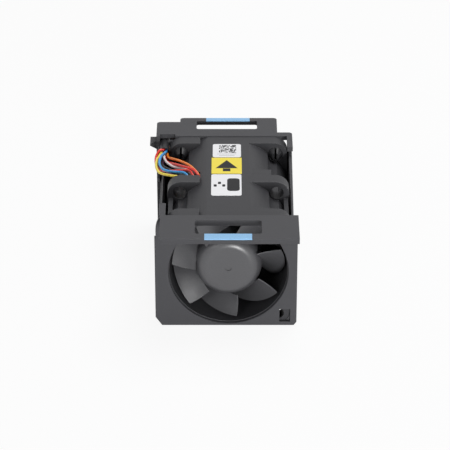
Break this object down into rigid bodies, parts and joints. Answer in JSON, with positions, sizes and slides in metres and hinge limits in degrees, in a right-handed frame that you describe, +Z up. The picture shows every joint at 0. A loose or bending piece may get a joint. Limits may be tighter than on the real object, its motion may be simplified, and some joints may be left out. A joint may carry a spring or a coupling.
{
  "type": "server fan module",
  "caption": "Hot-plug fan module: paired axial fans end to end in a black carrier with a slotted finger hood at each end and blue touch strips.",
  "frame": {"origin": "under the fan axis, at the inlet face of the front panel, on the plane that the module rests on", "axes": "+Y along the fan axis with the air flow from inlet to outlet, +Z up, +X to the right seen from the inlet"},
  "size_m": [0.049, 0.0852, 0.0403],
  "materials": {
    "carrier": "matte",
    "housing": "matte",
    "impeller": "satin",
    "touch_strip": "satin",
    "socket": "matte",
    "contact": "polished",
    "push_pin": "satin",
    "sleeve": "satin",
    "label_white": "matte",
    "label_yellow": "satin",
    "motor_steel": "satin",
    "shaft_steel": "polished",
    "magnet": "matte",
    "washer": "satin",
    "lamination": "satin",
    "winding": "gloss",
    "board": "satin",
    "lead_yellow": "satin",
    "lead_blue": "satin",
    "lead_red": "satin",
    "lead_purple": "satin",
    "lead_black": "satin",
    "lead_white": "satin",
    "lead_orange": "satin"
  },
  "bodies": {
    "module": {"front_panel": "carrier", "rear_panel": "carrier", "left_wall": "carrier", "right_wall": "carrier", "front_touch_strip": "touch_strip", "rear_touch_strip": "touch_strip", "socket_body": "socket", "socket_contacts": "contact", "push_pins": "push_pin", "cable_sleeve": "sleeve", "rear_label": "label_white", "middle_label": "label_yellow", "front_label": "label_white", "yellow_lead": "lead_yellow", "blue_lead": "lead_blue", "red_lead": "lead_red", "second_red_lead": "lead_red", "purple_lead": "lead_purple", "black_lead": "lead_black", "white_lead": "lead_white", "orange_lead": "lead_orange", "front_housing": "housing", "front_bearings": "shaft_steel", "front_stator_core": "lamination", "front_coils": "winding", "front_circuit_board": "board", "rear_housing": "housing", "rear_bearings": "shaft_steel", "rear_stator_core": "lamination", "rear_coils": "winding", "rear_circuit_board": "board"},
    "front_rotor": {"front_impeller": "impeller", "front_yoke": "motor_steel", "front_magnet": "magnet", "front_shaft": "shaft_steel", "front_shaft_clip": "washer", "front_spacer_washer": "washer"},
    "rear_rotor": {"rear_impeller": "impeller", "rear_yoke": "motor_steel", "rear_magnet": "magnet", "rear_shaft": "shaft_steel", "rear_shaft_clip": "washer", "rear_spacer_washer": "washer"}
  },
  "joints": [
    {"name": "front_rotor_spin", "type": "hinge", "parent": "module", "child": "front_rotor", "pos_m": [0, 0.0152, 0.02], "axis": [0, 1, 0], "continuous": true},
    {"name": "rear_rotor_spin", "type": "hinge", "parent": "module", "child": "rear_rotor", "pos_m": [0, 0.0432, 0.02], "axis": [0, -1, 0], "continuous": true}
  ]
}
